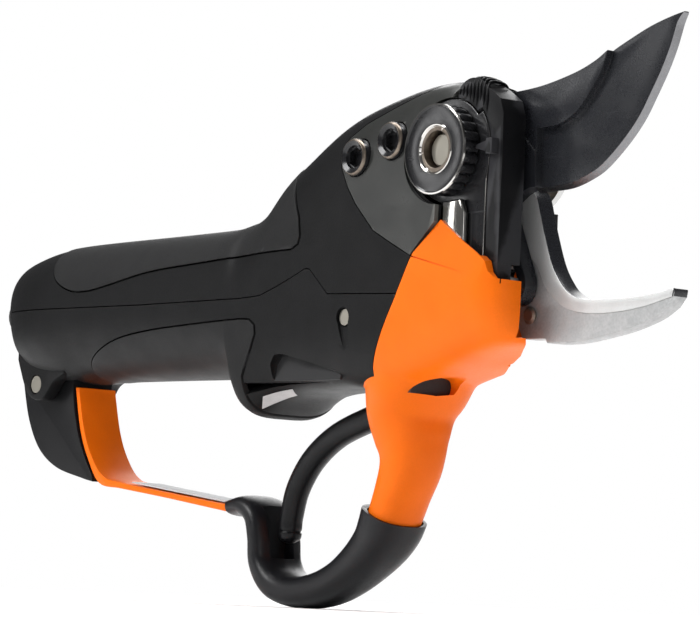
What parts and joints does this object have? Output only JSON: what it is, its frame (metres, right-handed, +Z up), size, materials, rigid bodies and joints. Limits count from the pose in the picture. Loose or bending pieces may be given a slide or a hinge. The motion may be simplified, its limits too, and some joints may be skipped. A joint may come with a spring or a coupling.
{
  "type": "pruning shears",
  "caption": "Powered one-hand pruning shears: curved black blade over a steel hook, black casing, orange front cover and finger guard with a curved trigger.",
  "frame": {"origin": "centre of the bounding box on its lowest plane, under the finger ring", "axes": "+X along the handle towards the blades, +Y to the left of the hand that holds it, +Z up from guard to casing"},
  "size_m": [0.2902, 0.0416, 0.1514],
  "materials": {
    "black_plastic": "fine-grained matt black moulding",
    "grip_rubber": "matt black soft grip inlay",
    "soft_rubber": "smooth black rubber",
    "orange_plastic": "satin orange moulding",
    "satin_plate": "satin dark grey-green coated plate",
    "polished_steel": "polished steel",
    "ground_steel": "ground and cast steel",
    "cast_steel": "machined steel",
    "coated_blade": "black low-friction coating with a ground edge",
    "dark_chrome": "glossy dark plated steel",
    "latch_plastic": "satin black moulding",
    "zinc_screw": "plated screw steel",
    "brass": "machined brass",
    "motor_can": "dark plated can",
    "board_green": "green circuit board",
    "chip_black": "black component",
    "label_grey": "blank printed label",
    "magnet": "nickel-plated magnet"
  },
  "bodies": {
    "frame_body": {"board_capacitor": "chip_black", "board_chip": "chip_black", "cable_socket": "chip_black", "casing_screw": "zinc_screw", "control_board": "board_green", "counter_blade": "ground_steel", "counter_blade_rivet": "zinc_screw", "finger_ring": "soft_rubber", "front_cover": "orange_plastic", "gearbox_housing": "motor_can", "grip_pad_bottom": "grip_rubber", "grip_pad_top": "grip_rubber", "guard_arm": "black_plastic", "guard_screw": "zinc_screw", "guard_strip": "orange_plastic", "head_screw_1": "zinc_screw", "head_screw_2": "zinc_screw", "head_screw_nut_1": "zinc_screw", "head_screw_nut_2": "zinc_screw", "head_sleeve_far_1": "zinc_screw", "head_sleeve_far_2": "zinc_screw", "head_sleeve_near_1": "zinc_screw", "head_sleeve_near_2": "zinc_screw", "latch_pin": "zinc_screw", "lower_casing": "black_plastic", "motor_can": "motor_can", "pivot_bolt": "zinc_screw", "pivot_bush_far": "zinc_screw", "pivot_bush_near": "zinc_screw", "pivot_plate": "polished_steel", "pivot_washer": "polished_steel", "plate_bar": "polished_steel", "screw_bearing": "polished_steel", "side_plate_left": "satin_plate", "side_plate_right": "satin_plate", "strip_label": "label_grey", "trigger_pin": "zinc_screw", "trigger_sensor": "board_green", "upper_casing": "black_plastic"},
    "blade_body": {"blade": "coated_blade"},
    "latch_body": {"latch": "latch_plastic"},
    "pivot_nut_body": {"pivot_nut": "dark_chrome"},
    "trigger_body": {"trigger": "latch_plastic", "trigger_magnet": "magnet"},
    "carriage": {"screw_nut": "cast_steel", "drive_pin": "polished_steel"},
    "screw_body": {"ball_screw": "polished_steel"},
    "rotor": {"motor_rotor": "brass"},
    "planet_1": {"planet_gear_1": "brass"},
    "planet_2": {"planet_gear_2": "brass"},
    "planet_3": {"planet_gear_3": "brass"}
  },
  "joints": [
    {"name": "blade_close", "type": "hinge", "parent": "frame_body", "child": "blade_body", "pos_m": [0.0719, -0.0039, 0.12045], "axis": [0, 1, 0], "range_deg": [0, 48]},
    {"name": "carriage_slide", "type": "slide", "parent": "frame_body", "child": "carriage", "axis": [-1, 0, 0], "range_m": [0, 0.0318]},
    {"name": "screw_spin", "type": "hinge", "parent": "frame_body", "child": "screw_body", "pos_m": [-0.0181, 0.0002, 0.08445], "axis": [1, 0, 0], "range_deg": [0, 1153]},
    {"name": "rotor_spin", "type": "hinge", "parent": "frame_body", "child": "rotor", "pos_m": [-0.0681, 0.0002, 0.08445], "axis": [1, 0, 0], "range_deg": [0, 4610]},
    {"name": "trigger_pull", "type": "hinge", "parent": "frame_body", "child": "trigger_body", "pos_m": [0.0419, 0.0002, 0.05445], "axis": [0, 1, 0], "range_deg": [0, 8], "stiffness_Nm_per_rad": 0.3, "springref_deg": -11.46},
    {"name": "latch_release", "type": "hinge", "parent": "frame_body", "child": "latch_body", "pos_m": [0.0889, -0.01305, 0.08195], "axis": [0, 1, 0], "range_deg": [0, 10], "stiffness_Nm_per_rad": 0.4, "springref_deg": -14.32},
    {"name": "nut_turn", "type": "hinge", "parent": "frame_body", "child": "pivot_nut_body", "pos_m": [0.0719, -0.0182, 0.12045], "axis": [0, -1, 0], "continuous": true},
    {"name": "planet_spin_1", "type": "hinge", "parent": "screw_body", "child": "planet_1", "pos_m": [-0.0371, 0.0002, 0.09195], "axis": [1, 0, 0], "range_deg": [-3459, 0]},
    {"name": "planet_spin_2", "type": "hinge", "parent": "screw_body", "child": "planet_2", "pos_m": [-0.0371, -0.0063, 0.0807], "axis": [1, 0, 0], "range_deg": [-3459, 0]},
    {"name": "planet_spin_3", "type": "hinge", "parent": "screw_body", "child": "planet_3", "pos_m": [-0.0371, 0.0067, 0.0807], "axis": [1, 0, 0], "range_deg": [-3459, 0]}
  ],
  "couplings": [
    {"joint": "carriage_slide", "follows": "blade_close", "m_per_rad": 0.037839},
    {"joint": "screw_spin", "follows": "blade_close", "ratio": 24},
    {"joint": "rotor_spin", "follows": "blade_close", "ratio": 96},
    {"joint": "planet_spin_1", "follows": "blade_close", "ratio": -72},
    {"joint": "planet_spin_2", "follows": "blade_close", "ratio": -72},
    {"joint": "planet_spin_3", "follows": "blade_close", "ratio": -72}
  ]
}
